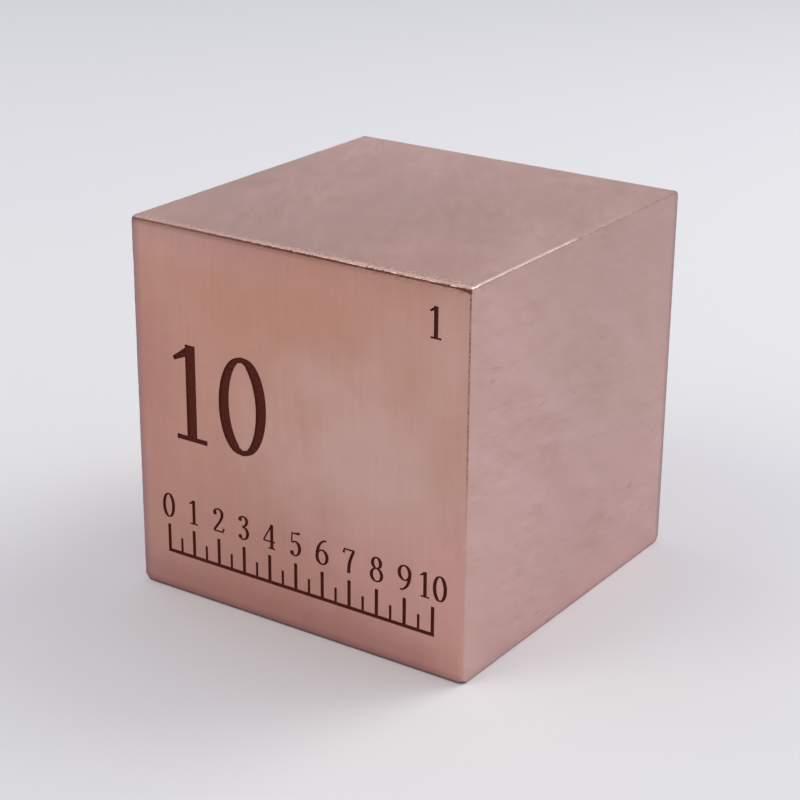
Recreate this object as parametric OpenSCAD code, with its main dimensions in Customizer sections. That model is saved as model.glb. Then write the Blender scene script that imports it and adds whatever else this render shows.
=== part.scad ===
// Solid copper cube: a block of bar stock machined square on all six faces,
// with every edge eased to a small radius and every corner dubbed off.
// Origin at the centre of the face it rests on, +Z up. The marked face looks along -Y.
// Millimetres.

/* [Block] */
// Length of every side, measured over the flat faces
side = 25.4; // [10:0.1:50.8]

/* [Eased edges] */
// Radius along the eight level edges, around the top and the bottom face
rim_radius = 0.12; // [0.05:0.01:0.6]
// Radius along the four upright edges
upright_radius = 0.1; // [0.05:0.01:0.6]
// How far each corner stands back from the sharp one, along the cube's diagonal
corner_break = 0.21; // [0.05:0.01:1]

/* [Hidden] */

round_fn = 48;  // segments of the small edge radii
dub_fn = 180;   // segments of the large sphere that dubs the corners
dub_radius = side * sqrt(3) / 2 - corner_break;

// Square of the cube's side, centred, with its four corners rounded
module eased_square(radius) {
    inset = side / 2 - radius;
    square([side, 2 * inset], center = true);
    square([2 * inset, side], center = true);
    for (x = [-inset, inset], y = [-inset, inset])
        translate([x, y]) circle(r = radius, $fn = round_fn);
}

// Square bar along Z, as long as it is wide, with its four long edges rounded
module eased_bar(radius) {
    linear_extrude(height = side, center = true) eased_square(radius);
}

// Three bars cross at right angles and round four edges each.
// The sphere about the centre takes the tip off all eight corners alike.
module eased_block() {
    intersection() {
        eased_bar(upright_radius);
        rotate([90, 0, 0]) eased_bar(rim_radius);
        rotate([0, 90, 0]) eased_bar(rim_radius);
        sphere(r = dub_radius, $fn = dub_fn);
    }
}

module copper_cube() {
    color([0.73, 0.53, 0.47])
    translate([0, 0, side / 2]) eased_block();
}

copper_cube();
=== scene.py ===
import math

import bmesh
import bpy
from mathutils import Matrix, Vector, noise


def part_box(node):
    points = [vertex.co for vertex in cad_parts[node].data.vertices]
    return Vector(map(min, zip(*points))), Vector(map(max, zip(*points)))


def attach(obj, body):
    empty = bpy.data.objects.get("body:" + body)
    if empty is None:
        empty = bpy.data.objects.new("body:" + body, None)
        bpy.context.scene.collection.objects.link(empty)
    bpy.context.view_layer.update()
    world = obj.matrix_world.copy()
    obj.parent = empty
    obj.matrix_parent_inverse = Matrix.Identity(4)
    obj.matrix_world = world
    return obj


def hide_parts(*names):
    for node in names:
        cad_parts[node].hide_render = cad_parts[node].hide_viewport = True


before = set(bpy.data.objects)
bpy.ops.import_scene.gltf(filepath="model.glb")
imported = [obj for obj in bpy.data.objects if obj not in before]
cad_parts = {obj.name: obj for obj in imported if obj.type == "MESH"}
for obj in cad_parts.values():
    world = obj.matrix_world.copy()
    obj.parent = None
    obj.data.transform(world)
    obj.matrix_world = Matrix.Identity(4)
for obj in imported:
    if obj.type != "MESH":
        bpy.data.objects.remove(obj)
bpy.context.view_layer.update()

cubeLow, cubeHigh = (Vector(corner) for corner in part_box("copper_cube"))
side = cubeHigh.z - cubeLow.z
middle = (cubeLow + cubeHigh) / 2
# Shapes are drawn in millimetres about the cube's middle, and brought to metres at the end
mm = 0.001
half = side / mm / 2
print("frame loaded: a cube with sides of", round(side / mm, 2), "mm")


# Node trees

class Value:
    # One output of a node. Arithmetic on it adds Math nodes to its tree.
    def __init__(self, shade, socket):
        self.shade = shade
        self.socket = socket

    def math(self, operation, *others):
        terms = dict(enumerate((self,) + others))
        return self.shade.node("ShaderNodeMath", {"operation": operation}, terms)

    def __add__(self, other):
        return self.math("ADD", other)

    def __mul__(self, other):
        return self.math("MULTIPLY", other)

    def __sub__(self, other):
        return self.math("SUBTRACT", other)

    def __rsub__(self, other):
        return self.shade.node("ShaderNodeMath", {"operation": "SUBTRACT"}, {0: other, 1: self})

    def __abs__(self):
        return self.math("ABSOLUTE")

    def least(self, other):
        return self.math("MINIMUM", other)

    def most(self, other):
        return self.math("MAXIMUM", other)

    __radd__ = __add__
    __rmul__ = __mul__


class Shade:
    # The node tree of one material or of the world
    def __init__(self, owner):
        owner.use_nodes = True
        self.tree = owner.node_tree
        self.tree.nodes.clear()

    # Adds a node, sets it up, fills its sockets by name or number, and gives its first live output
    def node(self, kind, settings=None, sockets=None, output=None):
        made = self.tree.nodes.new(kind)
        for name, value in (settings or {}).items():
            setattr(made, name, value)
        for key, value in (sockets or {}).items():
            socket = self.pick(made.inputs, key)
            if isinstance(value, Value):
                self.tree.links.new(value.socket, socket)
            else:
                socket.default_value = value
        if not len(made.outputs):
            return None
        return Value(self, self.pick(made.outputs, output))

    def pick(self, sockets, key):
        live = [socket for socket in sockets if socket.enabled]
        if isinstance(key, int):
            return live[key]
        return next(socket for socket in live if key is None or socket.name == key)

    def blend(self, factor, first, second, how="MIX"):
        settings = {"data_type": "RGBA", "blend_type": how}
        return self.node("ShaderNodeMix", settings, {"Factor": factor, "A": first, "B": second})

    # Smooth step from 0 at the first place to 1 at the second
    def ease(self, value, start, end):
        settings = {"interpolation_type": "SMOOTHSTEP"}
        return self.node("ShaderNodeMapRange", settings, {"Value": value, "From Min": start, "From Max": end})

    def cloud(self, vector, scale, detail=2, roughness=0.5):
        sockets = {"Vector": vector, "Scale": scale, "Detail": detail, "Roughness": roughness}
        return self.node("ShaderNodeTexNoise", None, sockets)

    # Stretches a pattern's coordinates, then turns them and then shifts them
    def place(self, vector, scale=(1, 1, 1), turn=(0, 0, 0), shift=(0, 0, 0)):
        turned = tuple(math.radians(angle) for angle in turn)
        sockets = {"Vector": vector, "Location": shift, "Rotation": turned, "Scale": scale}
        return self.node("ShaderNodeMapping", None, sockets)

    def finish(self, surface, kind="ShaderNodeOutputMaterial"):
        self.node(kind, None, {"Surface": surface})


# Marks on the front face: plain figures and a scale of even parts.
# A figure is a list of strokes in a cell one unit tall, drawn with a broad nib.

marks = {
    "depth": 0.1,
    "slope": 0.35,        # how far the walls lean in for each millimetre of depth
    "leanMost": 0.7,      # the most of a stroke's half width that they may take
    "proud": 0.06,        # how far the cutter stands out of the face
    "nibAngle": 14,       # degrees above level
    "heavy": 0.15,        # stroke across the nib, as a share of the figure's height
    "light": 0.062,       # stroke along the nib, and hair lines
    "foot": 0.06,         # serifs
    "dot": 0.58,          # radius of a dot, as a share of the heavy stroke
    "wedge": (0.8, 0.7),  # how thin a wedge starts, and how far it grows towards the heavy stroke
    "gap": 0.08,          # between figures
    "fine": 0.045,        # length of one step along a stroke
    "bigHeight": 6.9,
    "bigPlace": (-10.0, -1.7),
    "bigWeight": 0.82,    # the large figures are drawn lighter
    "cornerHeight": 2.1,
    "cornerPlace": (10.3, 9.2),
    "scaleHeight": 1.8,
    "scaleLine": 0.26,    # width of the long line and the long ticks
    "scaleHair": 0.19,    # width of the short ticks
    "scaleFrom": -10.4,
    "scaleTo": 10.4,
    "scaleBase": -9.9,
    "longTick": 1.9,
    "shortTick": 1.1,
    "labelGap": 0.45,
    "parts": 10,
}


def ringOf(centreX, centreZ, reachX, reachZ):
    turns = (math.radians(15 * i) for i in range(25))
    return [(centreX + reachX * math.cos(turn), centreZ + reachZ * math.sin(turn)) for turn in turns]


def upsideDown(strokes, width):
    return [(kind, [(width - x, 1 - z) for x, z in points]) for kind, points in strokes]


sixStrokes = [
    ("ring", ringOf(0.30, 0.31, 0.215, 0.27)),
    ("nib", [(0.47, 0.93), (0.40, 0.955), (0.24, 0.83), (0.13, 0.62), (0.085, 0.38)]),
]
figures = {
    "0": (0.60, [("ring", ringOf(0.30, 0.49, 0.215, 0.455))]),
    "1": (0.48, [
        ("nib", [(0.26, 0.02), (0.26, 0.96)]),
        ("wedge", [(0.06, 0.80), (0.16, 0.855), (0.26, 0.915)]),
        ("foot", [(0.08, 0.03), (0.44, 0.03)]),
    ]),
    "2": (0.56, [
        ("nib", [(0.10, 0.74), (0.14, 0.86), (0.28, 0.935), (0.42, 0.86), (0.455, 0.70),
                 (0.37, 0.49), (0.22, 0.27), (0.07, 0.07)]),
        ("nib", [(0.06, 0.06), (0.50, 0.06)]),
        ("wedge", [(0.475, 0.05), (0.49, 0.11), (0.525, 0.21)]),
        ("dot", [(0.13, 0.755)]),
    ]),
    "3": (0.55, [
        ("nib", [(0.10, 0.80), (0.16, 0.895), (0.27, 0.935), (0.39, 0.87), (0.42, 0.74),
                 (0.35, 0.60), (0.21, 0.53)]),
        ("nib", [(0.21, 0.53), (0.37, 0.48), (0.455, 0.31), (0.39, 0.12), (0.25, 0.045), (0.09, 0.10)]),
        ("dot", [(0.12, 0.135)]),
        ("dot", [(0.125, 0.81)]),
    ]),
    "4": (0.60, [
        ("hair", [(0.40, 0.93), (0.05, 0.31)]),
        ("nib", [(0.03, 0.29), (0.56, 0.29)]),
        ("nib", [(0.41, 0.02), (0.41, 0.96)]),
        ("foot", [(0.25, 0.03), (0.56, 0.03)]),
    ]),
    "5": (0.55, [
        ("wedge", [(0.12, 0.90), (0.30, 0.90), (0.47, 0.935)]),
        ("hair", [(0.13, 0.93), (0.11, 0.53)]),
        ("nib", [(0.11, 0.53), (0.26, 0.59), (0.40, 0.52), (0.455, 0.33), (0.39, 0.13),
                 (0.25, 0.045), (0.09, 0.10)]),
        ("dot", [(0.12, 0.135)]),
    ]),
    "6": (0.60, sixStrokes),
    "7": (0.54, [
        ("nib", [(0.05, 0.91), (0.51, 0.91)]),
        ("nib", [(0.47, 0.90), (0.36, 0.64), (0.28, 0.36), (0.25, 0.02)]),
        ("wedge", [(0.075, 0.92), (0.06, 0.84), (0.04, 0.75)]),
    ]),
    "8": (0.60, [
        ("ring", ringOf(0.30, 0.735, 0.165, 0.205)),
        ("ring", ringOf(0.30, 0.285, 0.215, 0.245)),
    ]),
    "9": (0.60, upsideDown(sixStrokes, 0.60)),
}


# Points along a smooth curve through the given ones
def smoothPath(points, closed, step):
    spots = [Vector(point) for point in points]
    if closed:
        spots = [spots[-2]] + spots + [spots[1]]
    else:
        spots = [spots[0] * 2 - spots[1]] + spots + [spots[-1] * 2 - spots[-2]]
    path = []
    for before, start, end, after in zip(spots, spots[1:], spots[2:], spots[3:]):
        count = max(1, round((end - start).length / step))
        for i in range(count):
            t = i / count
            leave = (end - before) * t
            bend = (2 * before - 5 * start + 4 * end - after) * t ** 2
            settle = (3 * start - before - 3 * end + after) * t ** 3
            path.append(start + 0.5 * (leave + bend + settle))
    return path + [spots[-2]]


# A cutter starts as a flat outline just outside the face, and goes down to the floor of the mark.
# On the way each of its corners leans in towards the middle of the stroke.
def leanOf(width):
    spill = marks["slope"] * marks["proud"]
    reach = width / 2 + spill
    return reach, min(marks["slope"] * (marks["proud"] + marks["depth"]), marks["leanMost"] * reach)


def sink(cutter, outline, lean):
    lowered = bmesh.ops.extrude_face_region(outline, geom=outline.faces[:])
    for part in lowered["geom"]:
        if isinstance(part, bmesh.types.BMVert):
            part.co += part[lean] + Vector((0, marks["proud"] + marks["depth"], 0))
    bmesh.ops.recalc_face_normals(outline, faces=outline.faces)
    piece = bpy.data.meshes.new("stroke")
    outline.to_mesh(piece)
    outline.free()
    cutter.from_mesh(piece)
    bpy.data.meshes.remove(piece)


# A stroke of varying width is a strip that is laid along its path
def cutStroke(cutter, path, widthAt, closed=False):
    steps = len(path) - 1
    strip = bmesh.new()
    lean = strip.verts.layers.float_vector.new("lean")
    bmesh.ops.create_grid(strip, x_segments=steps, y_segments=1, size=0.5)
    for corner in strip.verts:
        index = round((corner.co.x + 0.5) * steps)
        ahead = path[index + 1] if index < steps else path[1] if closed else path[index]
        behind = path[index - 1] if index > 0 else path[-2] if closed else path[index]
        along = (ahead - behind).normalized()
        outward = Vector((-along.y, 0, along.x)) * math.copysign(1, corner.co.y)
        reach, tuck = leanOf(widthAt(along, index / steps))
        corner.co = Vector((path[index].x, -half - marks["proud"], path[index].y)) + outward * reach
        corner[lean] = -outward * tuck
    if closed:
        bmesh.ops.remove_doubles(strip, verts=strip.verts, dist=0.001)
    sink(cutter, strip, lean)


def cutDot(cutter, place, radius):
    disc = bmesh.new()
    lean = disc.verts.layers.float_vector.new("lean")
    middleOf = Vector((place[0], -half - marks["proud"], place[1]))
    upright = Matrix.Translation(middleOf) @ Matrix.Rotation(math.radians(90), 4, "X")
    reach, tuck = leanOf(2 * radius)
    bmesh.ops.create_circle(disc, cap_ends=True, segments=20, radius=reach, matrix=upright)
    for corner in disc.verts:
        corner[lean] = (middleOf - corner.co).normalized() * tuck
    sink(cutter, disc, lean)


def cutFigures(cutter, text, place, height, aligned="left", weight=1):
    gap = marks["gap"]
    total = sum(figures[figure][0] + gap for figure in text) - gap
    pen = place[0] - height * total * {"left": 0, "middle": 0.5}[aligned]
    nib = math.radians(marks["nibAngle"])
    heavy, light, foot = (marks[name] * weight * height for name in ("heavy", "light", "foot"))
    thin, growth = marks["wedge"]

    widths = {
        "nib": lambda along, t: light + (heavy - light) * math.sin(math.atan2(along.y, along.x) - nib) ** 2,
        "wedge": lambda along, t: light * thin + (heavy - light) * growth * t,
        "hair": lambda along, t: light,
        "foot": lambda along, t: foot,
    }
    widths["ring"] = widths["nib"]
    for figure in text:
        width, strokes = figures[figure]
        for kind, points in strokes:
            spots = [(pen + x * height, place[1] + z * height) for x, z in points]
            if kind == "dot":
                cutDot(cutter, spots[0], heavy * marks["dot"])
            elif len(spots) > 2:
                path = smoothPath(spots, kind == "ring", height * marks["fine"])
                cutStroke(cutter, path, widths[kind], kind == "ring")
            else:
                cutStroke(cutter, [Vector(spot) for spot in spots], widths[kind])
        pen += (width + gap) * height


def cutScale(cutter):
    base, first, last = marks["scaleBase"], marks["scaleFrom"], marks["scaleTo"]
    line, hair = marks["scaleLine"], marks["scaleHair"]

    def bar(start, end, width):
        cutStroke(cutter, [Vector(start), Vector(end)], lambda along, t: width)

    bar((first - line / 2, base), (last + line / 2, base), line)
    for i in range(2 * marks["parts"] + 1):
        x = first + (last - first) * i / (2 * marks["parts"])
        isLong = i % 2 == 0
        bar((x, base), (x, base + marks["longTick" if isLong else "shortTick"]), line if isLong else hair)
        if isLong:
            label = (x, base + marks["longTick"] + marks["labelGap"])
            cutFigures(cutter, str(i // 2), label, marks["scaleHeight"], "middle")


def marksCutter():
    cutter = bmesh.new()
    cutFigures(cutter, "10", marks["bigPlace"], marks["bigHeight"], weight=marks["bigWeight"])
    cutFigures(cutter, "1", marks["cornerPlace"], marks["cornerHeight"], "middle")
    cutScale(cutter)
    for face in cutter.faces:
        face.material_index = 1
    mesh = bpy.data.meshes.new("marksCutter")
    cutter.to_mesh(mesh)
    cutter.free()
    tool = bpy.data.objects.new("marksCutter", mesh)
    bpy.context.scene.collection.objects.link(tool)
    return tool


# The block: flat faces on the frame's planes, edges eased by hand and corners dubbed off

block = {
    "rimRadius": 0.12,       # level edges
    "uprightRadius": 0.10,
    "band": 0.20,            # the strip along each edge within which its radius wanders
    "cornerBreak": 0.21,
    "cornerSpread": 0.3,     # share by which the upper corners are sharper and the lower ones blunter
    "edgeSegments": 6,
    "edgeSteps": 180,        # cuts along each edge
    "waver": 0.22,           # share of the radius by which it wanders, and over what length
    "waverPitch": 2.6,
    "ragged": 0.28,
    "raggedPitch": 0.4,
    "flat": 0.99999,         # a face is shaded flat if its normal lies along an axis to this degree
    "tolerance": 1e-5,
}


def radiusAt(spot, outward):
    level = 1 - abs(outward.z)      # 1 on an upright edge
    radius = block["rimRadius"] + (block["uprightRadius"] - block["rimRadius"]) * level ** 4
    wander = block["waver"] * noise.noise(spot / block["waverPitch"])
    wander += block["ragged"] * noise.noise(spot / block["raggedPitch"] + Vector((7, 3, 5)))
    return min(radius * (1 + wander), block["band"] * 0.98)


def easedBlock():
    shape = bmesh.new()
    bmesh.ops.create_cube(shape, size=2 * half)
    bmesh.ops.bevel(shape, geom=shape.edges[:], offset=block["band"], offset_type="OFFSET",
                    segments=block["edgeSegments"], profile=0.5, affect="EDGES", material=-1)
    long = [edge for edge in shape.edges if edge.calc_length() > half]
    bmesh.ops.subdivide_edges(shape, edges=long, cuts=block["edgeSteps"])
    flats = [face for face in shape.faces if face.calc_area() > half ** 2]
    bmesh.ops.inset_individual(shape, faces=flats, thickness=block["band"], use_even_offset=True)
    core = half - block["band"]
    for corner in shape.verts:
        old = corner.co.copy()
        inner = Vector([max(-core, min(core, place)) for place in old])
        outward = (old - inner).normalized()
        radius = radiusAt(old, outward)
        for axis in range(3):
            if abs(old[axis]) > core - block["tolerance"]:
                corner.co[axis] = math.copysign(half - radius, old[axis]) + radius * outward[axis]
        broken = block["cornerBreak"] * (1 - math.copysign(block["cornerSpread"], old.z))
        tip = half * math.sqrt(3) - broken
        if corner.co.length > tip:
            # what lies on a flat face slides along it
            fixed = Vector([place if abs(place) > half - block["tolerance"] else 0 for place in corner.co])
            free = corner.co - fixed
            corner.co = fixed + free * math.sqrt(tip ** 2 - fixed.length_squared) / free.length
    shape.normal_update()
    for face in shape.faces:
        face.smooth = max(abs(part) for part in face.normal) < block["flat"]
    return shape


def markedCube(copper, stain):
    shape = easedBlock()
    mesh = bpy.data.meshes.new("markedCube")
    shape.to_mesh(mesh)
    shape.free()
    piece = bpy.data.objects.new("markedCube", mesh)
    bpy.context.scene.collection.objects.link(piece)
    mesh.materials.append(copper)
    mesh.materials.append(stain)
    tool = marksCutter()
    cut = piece.modifiers.new("marks", "BOOLEAN")
    cut.operation = "DIFFERENCE"
    cut.solver = "EXACT"
    cut.use_self = True
    cut.object = tool
    evaluated = piece.evaluated_get(bpy.context.evaluated_depsgraph_get())
    result = bpy.data.meshes.new_from_object(evaluated)
    piece.modifiers.clear()
    piece.data = result
    bpy.data.meshes.remove(mesh)
    bpy.data.objects.remove(tool)
    result.transform(Matrix.Translation(middle) @ Matrix.Scale(mm, 4))
    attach(piece, "root")
    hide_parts("copper_cube")
    return piece


# Finishes. Distances in the patterns are in sides of the cube, from its middle.
# Each ease is 0 at its first place and 1 at its second.

copperLook = {
    "rose": (0.68, 0.452, 0.418, 1),       # the sides, low down
    "roseDeep": (0.54, 0.355, 0.32, 1),    # and high up
    "level": (0.572, 0.360, 0.297, 1),     # the top, near the marked face
    "levelPale": (0.668, 0.43, 0.365, 1),  # and away from it
    "ochre": (0.595, 0.370, 0.283, 1),     # a stain near its middle
    "tawny": (0.64, 0.385, 0.30, 1),       # its corner by the marks and the other side
    "warm": (0.625, 0.34, 0.27, 1),        # the marked face
    "amber": (0.60, 0.32, 0.232, 1),       # its orange blooms
    "pale": (0.69, 0.452, 0.39, 1),        # where it is wiped clean
    "blush": (0.73, 0.42, 0.365, 1),       # its lower corner by the seam
    "pink": (0.60, 0.325, 0.305, 1),       # under its upper edge
    "dusk": (0.56, 0.28, 0.235, 1),        # its outer margin
    "mauve": (0.40, 0.235, 0.25, 1),       # duller metal beside the outer upright edges
    "highlightPale": (0.66, 0.44, 0.385, 1),       # painted highlight: a soft pale band on the lower part of the edge between two sides
    "speck": (0.36, 0.20, 0.18, 1),        # small dull dashes and pits
    "edgeHighlight": (0.93, 0.71, 0.63, 1),     # painted highlight: bright strips on the top beside its right edge
    "burnishedAndHighlight": (0.96, 0.64, 0.55, 1),    # rubbed grains, and the painted highlight on the top's front edge
    "rubbed": (0.355, 0.262, 0.228, 1),    # rubbed edges
    "edgeShade": (0.21, 0.13, 0.115, 1),         # painted shade on the level edges
    "darkBrown": (0.12, 0.038, 0.03, 1),       # dark brown: painted dark reflections in the edges, painted shade under the top's front edge, dark specks and corner tips
    "plum": (0.19, 0.055, 0.12, 1),        # painted shade in the dull strip above the foot
    "footGrimeAndShade": (0.17, 0.09, 0.105, 1),   # where the cube meets what it stands on: grime with painted contact shade
    "roughness": 0.44,
    "edgeRoughness": 0.30,
    "brushRoughness": 0.08,                # how far the brushing, the clouds, and the dark lines, tips and foot line change it
    "cloudRoughness": 0.1,
    "darkTraceRoughness": 0.25,
    "brushDepth": 0.000008,                # metres
    "brushBump": 0.5,
    "brushTone": {"front": 0.13, "sides": 0.30, "level": 0.30},
    "uprightBrush": (85, 15, 7),           # fineness along each axis on the marked face
    "mottleTone": 0.10,
    "streakTint": (0.77, 1.08, 1.34),      # the brushing greys the metal, so red changes least
}

# Layers of brushing: turn in degrees, fineness along each axis, detail and roughness of the noise,
# strength that is the same all over, strength that comes and goes
brushLayers = {
    "sides": [
        ((9, 0, 0), (11, 9, 40), 4, 0.62, 0.3, 1.4),
        ((36, 0, 0), (3, 2.2, 9), 4, 0.55, 1.05, 0),
    ],
    "level": [
        ((0, 0, 59), (9, 32, 6), 5, 0.65, 0.5, 1.2),
        ((0, 0, 74), (2.6, 6, 6), 4, 0.6, 1.15, 0),
    ],
}

# Soft patches of colour, each laid over the ones before it:
# colour, strength, middle (across, then up or back), reach (across, then up or back)
topPatches = [
    ("level", 0.9, -0.5, -0.2, 0.24, 0.36),
    ("levelPale", 0.85, 0.46, -0.14, 0.19, 0.5),
    ("ochre", 0.65, 0.2, 0.04, 0.13, 0.36),
    ("tawny", 0.6, 0.26, -0.38, 0.26, 0.30),
]
frontPatches = [
    ("amber", 0.9, -0.10, 0.36, 0.45, 0.2),    # the rest lie over the blooms
    ("pale", 0.95, 0.24, -0.01, 0.42, 0.29),
    ("pale", 0.5, 0.34, 0.24, 0.23, 0.22),
    ("pale", 0.6, 0.08, 0.17, 0.13, 0.14),
    ("pale", 0.35, -0.42, 0.47, 0.28, 0.11),
    ("pale", 0.3, 0.46, 0.40, 0.1, 0.25),
    ("amber", 0.38, 0.425, 0.05, 0.06, 0.14),
    ("amber", 0.45, 0.33, 0.25, 0.10, 0.15),
    ("blush", 0.9, 0.46, -0.32, 0.50, 0.28),
    ("dusk", 0.9, -0.5, 0.14, 0.2, 0.4),
    ("pink", 0.42, -0.27, 0.47, 0.42, 0.11),
]

# How strongly each trace of handling and age, and each painted highlight and shade, shows
wearAndLight = {
    "blooms": 0.5,
    "specks": 0.36,
    "outer": 0.78,         # the margins by the outer upright edges
    "rubbed": 0.6,
    # painted highlight low on the upright edge beside the marks
    "lowEdgeHighlight": 0.4,
    "edgeShade": 0.3,            # painted shade on all level edges
    "edgeShadeTopRight": 0.2,    # what the top's right edge has besides
    "edgeShadeRising": 0.36,     # and the upper part of its rounding, where the lamps' highlight falls
    "edgeHighlight": 0.85,      # painted highlight along the near half of that edge
    "edgeHighlightFar": 0.14,
    "grains": 0.7,
    "pits": 0.6,
    "gleam": 0.85,         # painted highlight on the upper part of the top's front edge
    "gleamRight": 0.15,    # what its right part has besides
    "darkSpecks": 0.55,         # dark specks under that edge
    # painted dark reflections in the seam and under the top's front edge
    "seam": 0.70,
    "underRim": 0.81,
    "tips": 0.6,
    "shadow": 0.35,        # under the front edge, at its left
    "shadowRight": 0.27,   # what it loses towards the right
    "shadowWide": 0.07,
    # painted shade above the foot
    "shadeAbove": 0.18,
    "shadeAboveFoot": 0.26,
    "foot": 0.66,
    "footSides": 0.5,      # what the sides have less
}

# Where each trace begins and where it is full
extent = {
    "outer": (0.470, 0.4985),           # from the middle
    "rubbed": (0.4955, 0.4980),
    "edgeShade": (0.4955, 0.4975),
    "edgeHighlight": (0.4903, 0.4928),
    "edgeHighlightFar": (0.478, 0.492),
    "grains": (-0.462, -0.492),
    "gleam": (-0.4855, -0.4905),
    "tips": (0.4935, 0.4965),
    "foot": (0.4895, 0.4960),
    "footGap": (0.486, 0.492),
    "lowEdgeHighlight": (0.024, 0.002),           # from the upright edge beside the marks
    "gleamBelow": (0.0029, 0.0015),     # from the top, downwards
    "underRimTop": (0.0010, 0.0032),
    "underRimFoot": (0.0090, 0.0064),
    "shadow": (0.024, 0.006),
    "shadowWide": (0.08, 0.01),
    "shadeAbove": (0.12, 0.035),              # from the foot, upwards
    "shadeAboveFoot": (0.028, 0.009),
}


# The places on the cube that its finish is worked out from, and the patterns that several of its traces share
class CubePlaces:
    def __init__(self, shade):
        self.shade = shade
        own = shade.node("ShaderNodeTexCoord", None, None, "Object")
        self.spot = shade.place(own, (1 / side,) * 3, shift=(0, 0, -0.5))
        self.x, self.y, self.z = (self.part(axis) for axis in "XYZ")
        across, along, up = abs(self.x), abs(self.y), abs(self.z)
        self.outermost = across.most(along)
        self.onFront = shade.ease(self.y, -0.494, -0.499)
        self.onSides = shade.ease(across, 0.495, 0.499)
        self.onLevel = shade.ease(up, 0.495, 0.499)
        self.upright = across.least(along)                         # 0.5 on an upright edge
        self.edge = self.upright.most(self.outermost.least(up))    # 0.5 on any edge
        self.corner = self.upright.least(up)                       # 0.5 on a corner
        self.toSeam = (0.5 - self.x).most(self.y + 0.5)            # 0 on the upright edge beside the marks

        self.clouds = shade.cloud(self.spot, 3.1, 4, 0.55)
        self.mottle = shade.cloud(self.spot, 14, 3, 0.6)
        self.nicks = shade.cloud(self.spot, 38, 3, 0.6)
        self.jitter = 0.004 * (shade.cloud(self.spot, 130, 2, 0.6) - 0.5)
        self.grains = shade.cloud(shade.place(self.spot, (190, 75, 190)), 1, 2, 0.6)
        self.grit = shade.ease(self.grains, 0.5, 0.6)
        # depth under the top, ragged
        self.below = 0.5 - self.z + 0.85 * self.jitter + 0.006 * (self.grains - 0.5)

    def part(self, axis):
        return self.shade.node("ShaderNodeSeparateXYZ", None, {"Vector": self.spot}, axis)

    # The mask of one soft patch, on the marked face or, where the other axis is y, on the top
    def patch(self, x, other, reachX, reachOther, shaken, axis="z"):
        stretch = Vector((1 / reachX, 0, 1 / reachOther))
        centre = Vector((x, 0, other))
        if axis == "y":
            stretch, centre = stretch.xzy, centre.xzy
        shift = tuple(-a * b for a, b in zip(stretch, centre))
        near = self.shade.place(self.spot, tuple(stretch), shift=shift)
        away = self.shade.node("ShaderNodeVectorMath", {"operation": "LENGTH"}, {0: near}, "Value")
        return self.shade.ease(away + shaken, 1.15, 0.1)

    def patched(self, colour, patches, shaken, axis="z"):
        for name, strength, *where in patches:
            mask = strength * self.patch(*where, shaken, axis)
            colour = self.shade.blend(mask, colour, copperLook[name])
        return colour


# Satin lines left by the abrasive: upright on the marked face, nearly level on the sides, aslant on the top
def brushing(shade, places):
    patchy = shade.ease(shade.cloud(places.spot, 5.5, 2, 0.5), 0.36, 0.66)

    def layered(face):
        total = 0.5
        for turn, fineness, detail, roughness, steady, fitful in brushLayers[face]:
            turned = shade.place(places.spot, turn=turn)
            strokes = shade.cloud(shade.place(turned, fineness), 1, detail, roughness)
            total = total + (steady + fitful * patchy) * (strokes - 0.5)
        return total

    tone = copperLook["brushTone"]
    lines = shade.cloud(shade.place(places.spot, copperLook["uprightBrush"]), 1, 3, 0.6)
    lines = lines + places.onSides * (layered("sides") - lines)
    lines = lines + places.onLevel * (layered("level") - lines)
    share = tone["front"] + (tone["sides"] - tone["front"]) * places.onSides
    share = share + places.onLevel * (tone["level"] - share)
    return lines, share * (lines - 0.5)


def sidesColour(shade, places, shaken):
    rising = shade.ease(places.z + 0.12 * shaken, -0.62, 0.62)
    colour = shade.blend(rising, copperLook["rose"], copperLook["roseDeep"])
    tone = 0.97 + 0.12 * shade.ease(places.y, 0.15, -0.5) * shade.ease(places.z, -0.55, -0.25)
    tone = tone + 0.03 * shade.ease(places.z, -0.1, -0.5)
    tone = tone + 0.025 * shade.ease(places.y, -0.1, 0.25) * shade.ease(places.z, 0.05, -0.25)
    return shade.blend(1.0, colour, tone, "MULTIPLY")


def topColour(shade, places, shaken, torn):
    towardsBack = places.y - 0.8 * places.x + 0.3 * shaken
    colour = shade.blend(shade.ease(towardsBack, -0.65, 1.0), copperLook["level"], copperLook["levelPale"])
    return places.patched(colour, topPatches, torn, "y")


def frontColour(shade, places, torn):
    colour = places.patched(copperLook["warm"], frontPatches[:1], torn)
    blooms = shade.ease(shade.cloud(places.spot, 5.5, 3, 0.55), 0.45, 0.62) * shade.ease(places.z, -0.1, 0.3)
    colour = shade.blend(wearAndLight["blooms"] * blooms, colour, copperLook["amber"])
    return places.patched(colour, frontPatches[1:], torn)


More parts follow.
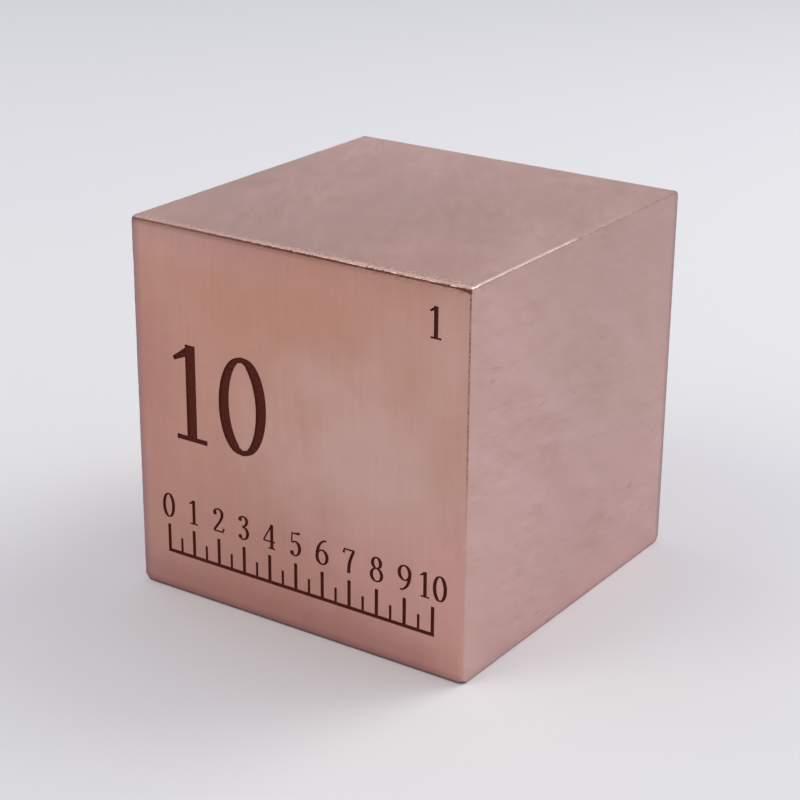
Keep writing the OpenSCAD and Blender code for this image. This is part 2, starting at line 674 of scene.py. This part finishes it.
# The flat faces: each one's own colour, the brushing, small dashes and the margins by the outer edges
def faceColours(shade, places, streaks):
    wisps = shade.cloud(shade.place(places.spot, (8, 8, 2.4)), 1, 4, 0.6)
    shaken = 1.6 * (places.clouds - 0.5)
    torn = 1.1 * (places.clouds - 0.5) + 0.85 * (wisps - 0.5)
    sides = sidesColour(shade, places, shaken)
    upright = shade.blend(places.onFront, sides, frontColour(shade, places, torn))
    colour = shade.blend(places.onLevel, upright, topColour(shade, places, shaken, torn))

    mottled = copperLook["mottleTone"] * (1 + 0.25 * places.onFront) * (places.mottle - 0.5)
    tone = shade.node("ShaderNodeVectorMath", {"operation": "MULTIPLY_ADD"},
                      {0: streaks + mottled, 1: copperLook["streakTint"], 2: (1, 1, 1)})
    colour = shade.blend(1.0, colour, tone, "MULTIPLY")

    turned = shade.place(places.spot, turn=(8, 0, 0))
    dashes = shade.cloud(shade.place(turned, (30, 13, 66)), 1, 2, 0.5)
    specks = shade.ease(dashes, 0.57, 0.72) * shade.ease(places.mottle, 0.5, 0.66) * places.onSides
    colour = shade.blend(wearAndLight["specks"] * specks, colour, copperLook["speck"])
    outer = shade.ease(places.upright, *extent["outer"]) * shade.ease(places.toSeam, 0.4, 0.6)
    return shade.blend(wearAndLight["outer"] * outer, colour, copperLook["mauve"])


# Edges that hands have rubbed, with painted light: a pale painted highlight low on the edge beside the marks,
# painted shade on the level edges, and a painted highlight beside the top's right edge. The top's right edge
# is bright along its near half.
def edgeWearAndLight(shade, places, colour):
    bySeam = shade.ease(places.toSeam, 0.03, 0.02)
    topRight = shade.ease(places.x, 0.47, 0.49) * shade.ease(places.z, 0.47, 0.49)
    nearHalf = shade.ease(places.y + 4 * places.jitter, -0.015, -0.05)
    crisp = topRight * nearHalf * shade.ease(places.z + 0.5 * places.jitter, 0.4976, 0.4988)
    worn = wearAndLight["rubbed"] * shade.ease(places.nicks, 0.5, 0.62) * (1 - bySeam) * (1 - topRight)
    rubbed = shade.ease(places.edge + places.jitter, *extent["rubbed"]) * crisp.most(worn)
    colour = shade.blend(rubbed, colour, copperLook["rubbed"])

    # painted highlight: a soft pale band low on the upright edge beside the marks
    lowEdgeHighlight = shade.ease(places.toSeam * (1 - 0.6 * places.onSides), *extent["lowEdgeHighlight"])
    lowEdgeHighlight = lowEdgeHighlight * shade.ease(places.z, 0.05, -0.3)
    colour = shade.blend(wearAndLight["lowEdgeHighlight"] * lowEdgeHighlight, colour, copperLook["highlightPale"])

    # painted shade: darkens the roundings of the level edges and damps the lamps' highlights there, most on
    # the top's right edge
    rising = topRight * shade.ease(places.z - places.x, -0.0035, -0.0005)
    edgeShade = shade.ease(places.outermost.least(places.z), *extent["edgeShade"]) * (1 - crisp)
    edgeShade = edgeShade * (wearAndLight["edgeShade"] + wearAndLight["edgeShadeTopRight"] * topRight + wearAndLight["edgeShadeRising"] * rising)
    colour = shade.blend(edgeShade, colour, copperLook["edgeShade"])

    # painted highlight: bright strips on the top beside its right edge, strong along its near half and faint
    # along its far half
    onTop = shade.ease(places.z, 0.4994, 0.4999)
    near = shade.ease(places.x, *extent["edgeHighlight"]) * onTop * nearHalf
    far = shade.ease(places.x, *extent["edgeHighlightFar"]) * onTop * (1 - nearHalf)
    far = far * shade.ease(places.y, 0.32, 0.2)
    strip = (wearAndLight["edgeHighlight"] * near).most(wearAndLight["edgeHighlightFar"] * far)
    return shade.blend(strip, colour, copperLook["edgeHighlight"]), rubbed


# The rough strip that the saw left along the top's front edge, a painted highlight on the upper part of that
# edge's rounding, and dark specks under it
def sawnStripAndHighlight(shade, places, colour):
    rough = shade.ease(places.y - 0.02 * places.x, *extent["grains"]) * shade.ease(places.z, 0.494, 0.498)
    colour = shade.blend(wearAndLight["grains"] * rough * places.grit, colour, copperLook["burnishedAndHighlight"])
    pits = shade.ease(places.grains, 0.46, 0.4)
    colour = shade.blend(wearAndLight["pits"] * rough * pits, colour, copperLook["speck"])

    # painted highlight: a bright ragged line on the upper part of the top's front edge's rounding
    gleam = shade.ease(places.y, *extent["gleam"]) * shade.ease(places.below, *extent["gleamBelow"])
    gleam = gleam * (0.6 + 0.4 * places.grit) * (0.2 + 0.8 * shade.ease(places.x, -0.5, 0.2))
    shine = wearAndLight["gleam"] + wearAndLight["gleamRight"] * shade.ease(places.x, -0.05, 0.3)
    colour = shade.blend(shine * gleam, colour, copperLook["burnishedAndHighlight"])

    # dark specks just under the top's front edge, more towards the right
    nearTop = shade.ease(places.z + 0.012 * places.x, 0.478, 0.503) * places.onFront
    nearTop = nearTop * (0.5 + 0.5 * shade.ease(places.x, -0.1, 0.45))
    return shade.blend(wearAndLight["darkSpecks"] * nearTop * places.grit, colour, copperLook["darkBrown"])


# Painted dark reflections in the seam and under the top's front edge, and dark corner tips
def darkLines(shade, places, colour):
    ahead, beside = abs(places.y) + 0.4 * places.jitter, abs(places.x) + 0.4 * places.jitter
    # painted dark reflection: a broken dark line in the upright edge beside the marks, fainter low down
    seam = shade.ease(ahead, 0.4972, 0.4988) * shade.ease(beside, 0.4952, 0.4970)
    seam = seam * (0.15 + 0.85 * shade.ease(places.z, -0.12, 0.15)) * (0.45 + 0.55 * places.grit)

    # painted dark reflection: a ragged dark line along the lower part of the top's front edge, wider by the
    # corner
    flare = 0.009 * shade.ease(places.x, 0.455, 0.498) * (0.4 + 0.6 * places.grit)    # wider by the corner
    underRim = shade.ease(places.below, *extent["underRimTop"])
    underRim = underRim * shade.ease(places.below - flare, *extent["underRimFoot"])
    underRim = underRim * shade.ease(places.y, -0.4960, -0.4978)
    underRim = underRim * (0.75 + 0.25 * shade.ease(places.nicks, 0.62, 0.5))
    underRim = underRim * (0.55 + 0.45 * shade.ease(places.x, -0.48, 0.0))

    tips = shade.ease(places.corner + places.jitter, *extent["tips"])
    darkTraces = (wearAndLight["seam"] * seam).most(wearAndLight["underRim"] * underRim).most(wearAndLight["tips"] * tips)
    return shade.blend(darkTraces, colour, copperLook["darkBrown"]), darkTraces


# Painted shade on the upright faces under the top's front edge and above the foot, and a dark line at the
# foot of grime and painted contact shade
def topAndFoot(shade, places, colour):
    onUpright = 1 - places.onLevel
    tail = wearAndLight["shadow"] - wearAndLight["shadowRight"] * shade.ease(places.x, -0.1, 0.4)
    shadows = tail * shade.ease(places.below, *extent["shadow"])
    shadows = shadows + wearAndLight["shadowWide"] * shade.ease(places.below, *extent["shadowWide"])
    colour = shade.blend(shadows * places.onFront * onUpright, colour, copperLook["darkBrown"])

    # painted shade above the foot, strongest on the marked face
    above = places.z + 0.5
    shadeAbove = wearAndLight["shadeAbove"] * shade.ease(above, *extent["shadeAbove"])
    shadeAbove = shadeAbove * shade.ease(places.x, 0.46, 0.36) * places.onFront
    shadeAbove = shadeAbove + wearAndLight["shadeAboveFoot"] * shade.ease(above, *extent["shadeAboveFoot"]) * (1 - 0.6 * places.onSides)
    colour = shade.blend(shadeAbove * onUpright, colour, copperLook["plum"])

    # a dark line in the bottom edges: grime with painted contact shade
    foot = shade.ease(places.jitter - places.z, *extent["foot"])
    foot = foot * shade.ease(places.outermost, *extent["footGap"])
    strength = wearAndLight["foot"] - wearAndLight["footSides"] * places.onSides
    return shade.blend(strength * foot, colour, copperLook["footGrimeAndShade"]), foot


def copperFinish():
    material = bpy.data.materials.new("satinCopper")
    shade = Shade(material)
    look = copperLook
    places = CubePlaces(shade)
    lines, streaks = brushing(shade, places)
    colour = faceColours(shade, places, streaks)
    colour, rubbed = edgeWearAndLight(shade, places, colour)
    colour = sawnStripAndHighlight(shade, places, colour)
    colour, darkTraces = darkLines(shade, places, colour)
    colour, foot = topAndFoot(shade, places, colour)

    roughness = look["roughness"] + look["brushRoughness"] * (lines - 0.5)
    roughness = roughness + look["cloudRoughness"] * (places.clouds - 0.5)
    roughness = roughness + rubbed * (look["edgeRoughness"] - roughness)
    roughness = roughness + look["darkTraceRoughness"] * darkTraces.most(foot)
    bump = shade.node("ShaderNodeBump", None, {
        "Height": lines,
        "Distance": look["brushDepth"],
        "Strength": look["brushBump"],
    })
    surface = shade.node("ShaderNodeBsdfPrincipled", None, {
        "Base Color": colour,
        "Metallic": 1.0,
        "Roughness": roughness,
        "Normal": bump,
    })
    shade.finish(surface)
    return material


stainLook = {
    "floor": (0.078, 0.011, 0.006, 1),
    "patchy": (0.105, 0.026, 0.018, 1),
    "lip": (0.24, 0.085, 0.062, 1),    # scorched metal at the top of the walls
    "lipStrength": 0.8,
    "lipDepth": 0.6,                   # share of the marks' depth that it reaches
    "grain": 5000,                     # for each metre
    "grainDepth": 0.00003,             # metres
    "grainBump": 0.6,
    "roughness": 0.62,
    "roughnessSpread": 0.2,
    "specular": 0.1,
}


def stainFinish():
    material = bpy.data.materials.new("markStain")
    shade = Shade(material)
    look = stainLook
    spot = shade.node("ShaderNodeTexCoord", None, None, "Object")
    inward = shade.node("ShaderNodeSeparateXYZ", None, {"Vector": spot}, "Y")
    speckle = shade.cloud(spot, look["grain"], 3, 0.6)
    colour = shade.blend(shade.ease(speckle, 0.35, 0.75), look["floor"], look["patchy"])
    lip = shade.ease(inward, cubeLow.y + look["lipDepth"] * marks["depth"] * mm, cubeLow.y)
    colour = shade.blend(look["lipStrength"] * lip, colour, look["lip"])
    bump = shade.node("ShaderNodeBump", None, {
        "Height": speckle,
        "Distance": look["grainDepth"],
        "Strength": look["grainBump"],
    })
    surface = shade.node("ShaderNodeBsdfPrincipled", None, {
        "Base Color": colour,
        "Roughness": look["roughness"] + look["roughnessSpread"] * speckle,
        "Specular IOR Level": look["specular"],
        "Normal": bump,
    })
    shade.finish(surface)
    return material


# Stage

stage = {
    "floorReach": 60,         # sides
    "lampReach": 12,          # sides from the cube's middle
    "floorColour": (0.75, 0.75, 0.765, 1),
    "floorRoughness": 0.7,
    "floorSpecular": 0.2,
    "zenith": (0.55, 0.55, 0.63, 1),
    "horizon": (0.655, 0.655, 0.72, 1),
}
camera = {
    "azimuth": 34.19,         # degrees, from the front face towards the right one
    "elevation": 21.37,
    "roll": 0.49,
    "distance": 5.361,        # sides
    "aimRight": -0.0244,      # sides from the cube's middle
    "aimUp": -0.0348,
    "lens": 91.94,            # millimetres, on the sensor below
    "sensor": 36,
}
lamps = {
    "key": {"azimuth": 150, "elevation": 45, "size": 7, "power": 0.277, "colour": (1, 1, 0.92)},
    "wide": {"azimuth": 135, "elevation": 45, "size": 12, "power": 0.214, "colour": (1, 1, 0.92)},
    "front": {"azimuth": -30, "elevation": 45, "size": 7, "power": 0.217, "colour": (1, 1, 0.8)},
    "left": {"azimuth": -90, "elevation": 30, "size": 12, "power": 0.102, "colour": (1, 1, 1)},
}


def direction(azimuth, elevation):
    across, up = math.radians(azimuth), math.radians(elevation)
    return Vector((math.sin(across) * math.cos(up), -math.cos(across) * math.cos(up), math.sin(up)))


def addCamera():
    lens = bpy.data.cameras.new("camera")
    lens.lens, lens.sensor_width = camera["lens"], camera["sensor"]
    lens.clip_start, lens.clip_end = side * 0.1, side * 500
    holder = bpy.data.objects.new("camera", lens)
    bpy.context.scene.collection.objects.link(holder)
    back = direction(camera["azimuth"], camera["elevation"])
    right = Vector((0, 0, 1)).cross(back).normalized()
    aim = middle + side * (camera["aimRight"] * right + camera["aimUp"] * back.cross(right))
    facing = (-back).to_track_quat("-Z", "Y").to_matrix().to_4x4()
    roll = Matrix.Rotation(math.radians(camera["roll"]), 4, "Z")
    holder.matrix_world = Matrix.Translation(aim + back * camera["distance"] * side) @ facing @ roll
    bpy.context.scene.camera = holder


def addFloor():
    shape = bmesh.new()
    bmesh.ops.create_circle(shape, cap_ends=True, segments=96, radius=side * stage["floorReach"])
    mesh = bpy.data.meshes.new("floor")
    shape.to_mesh(mesh)
    shape.free()
    floor = bpy.data.objects.new("floor", mesh)
    bpy.context.scene.collection.objects.link(floor)
    material = bpy.data.materials.new("paleFloor")
    shade = Shade(material)
    shade.finish(shade.node("ShaderNodeBsdfPrincipled", None, {
        "Base Color": stage["floorColour"],
        "Roughness": stage["floorRoughness"],
        "Specular IOR Level": stage["floorSpecular"],
    }))
    mesh.materials.append(material)


# A lamp's power is the brightness that it alone gives a white card which faces it
def addLamps():
    for name, spec in lamps.items():
        lamp = bpy.data.lights.new(name, "AREA")
        lamp.shape = "DISK"
        lamp.size = spec["size"] * side
        lamp.color = spec["colour"]
        reach = stage["lampReach"] * side
        lamp.energy = spec["power"] * math.pi ** 2 * reach ** 2
        holder = bpy.data.objects.new(name, lamp)
        bpy.context.scene.collection.objects.link(holder)
        away = direction(spec["azimuth"], spec["elevation"])
        holder.location = middle + away * reach
        holder.rotation_euler = away.to_track_quat("Z", "Y").to_euler()


def addWorld():
    world = bpy.data.worlds.new("world")
    bpy.context.scene.world = world
    shade = Shade(world)
    way = shade.node("ShaderNodeTexCoord", None, None, "Generated")
    height = shade.node("ShaderNodeSeparateXYZ", None, {"Vector": way}, "Z")
    sky = shade.blend(shade.ease(height, 0.0, 0.9), stage["horizon"], stage["zenith"])
    light = shade.node("ShaderNodeBackground", None, {"Color": sky, "Strength": 1.0})
    shade.finish(light, "ShaderNodeOutputWorld")


addCamera()
print("camera placed")
cube = markedCube(copperFinish(), stainFinish())
print("cube cut and marked:", len(cube.data.polygons), "faces")
addFloor()
addLamps()
addWorld()
bpy.context.scene.view_settings.view_transform = "Standard"
print("stage lit")
